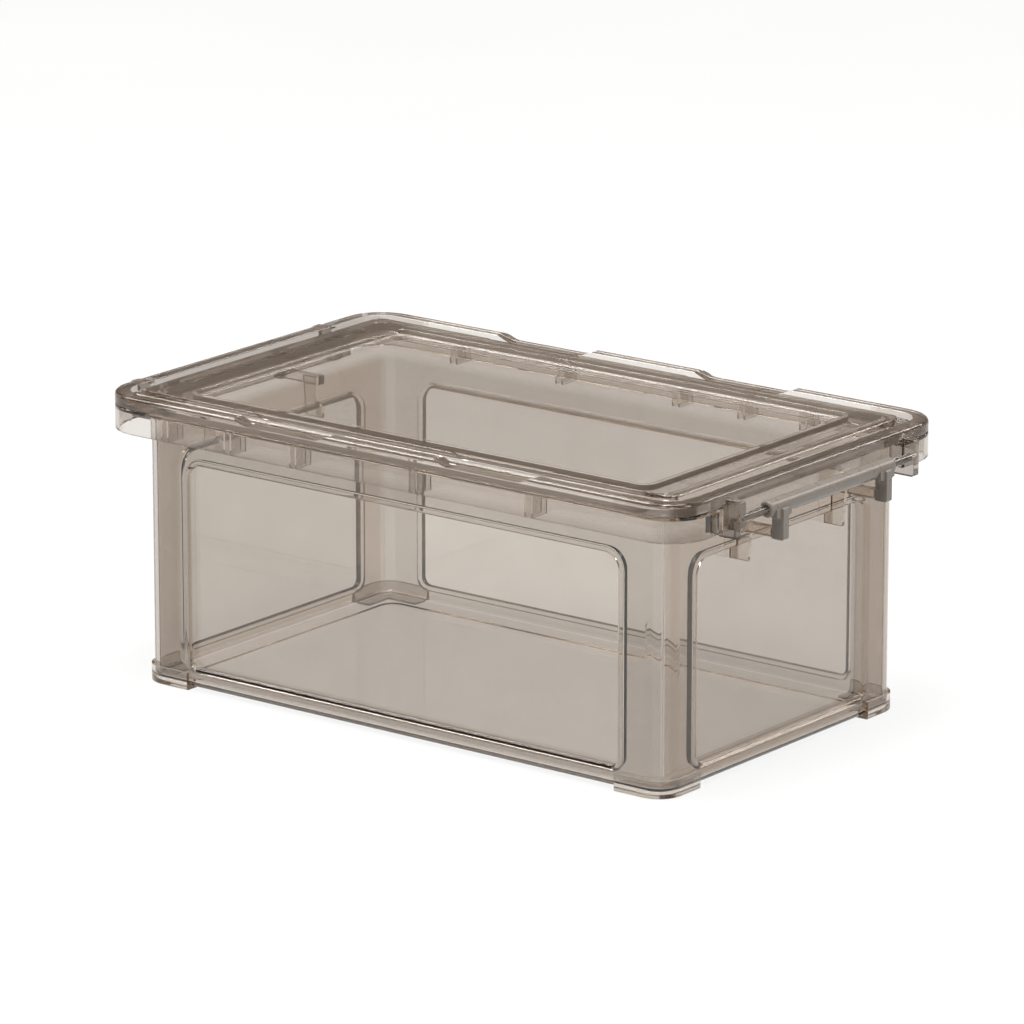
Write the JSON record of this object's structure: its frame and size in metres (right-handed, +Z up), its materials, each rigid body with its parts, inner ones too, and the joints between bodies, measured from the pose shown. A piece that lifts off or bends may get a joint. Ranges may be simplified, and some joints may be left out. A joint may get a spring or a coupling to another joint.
{
  "type": "lidded plastic storage box",
  "caption": "Clear smoke-tinted rectangular storage box with corner posts, a lift-off lid and a swing latch on each short end.",
  "frame": {"origin": "middle of the footprint, at the level of the feet's undersides", "axes": "+X along the length towards the right-hand latch, +Y towards the back, +Z up out of the tub"},
  "size_m": [0.429, 0.244, 0.1665],
  "materials": {
    "clear_smoke": "clear smoke-tinted moulding, polished",
    "milky_latch": "milky translucent moulding, satin",
    "clear_foot": "clear moulding, polished"
  },
  "bodies": {
    "tub": {"tub": "clear_smoke", "foot_front_left": "clear_foot", "foot_front_right": "clear_foot", "foot_back_left": "clear_foot", "foot_back_right": "clear_foot"},
    "lid": {"lid": "clear_smoke"},
    "latch_right": {"latch_right": "milky_latch"},
    "latch_left": {"latch_left": "milky_latch"}
  },
  "joints": [
    {"name": "lid_lift", "type": "slide", "parent": "tub", "child": "lid", "axis": [0, 0, 1], "range_m": [0, 0.08]},
    {"name": "latch_right_swing", "type": "hinge", "parent": "lid", "child": "latch_right", "pos_m": [0.208, 0, 0.1535], "axis": [0, -1, 0], "range_deg": [0, 110]},
    {"name": "latch_left_swing", "type": "hinge", "parent": "lid", "child": "latch_left", "pos_m": [-0.208, 0, 0.1535], "axis": [0, 1, 0], "range_deg": [0, 110]}
  ]
}
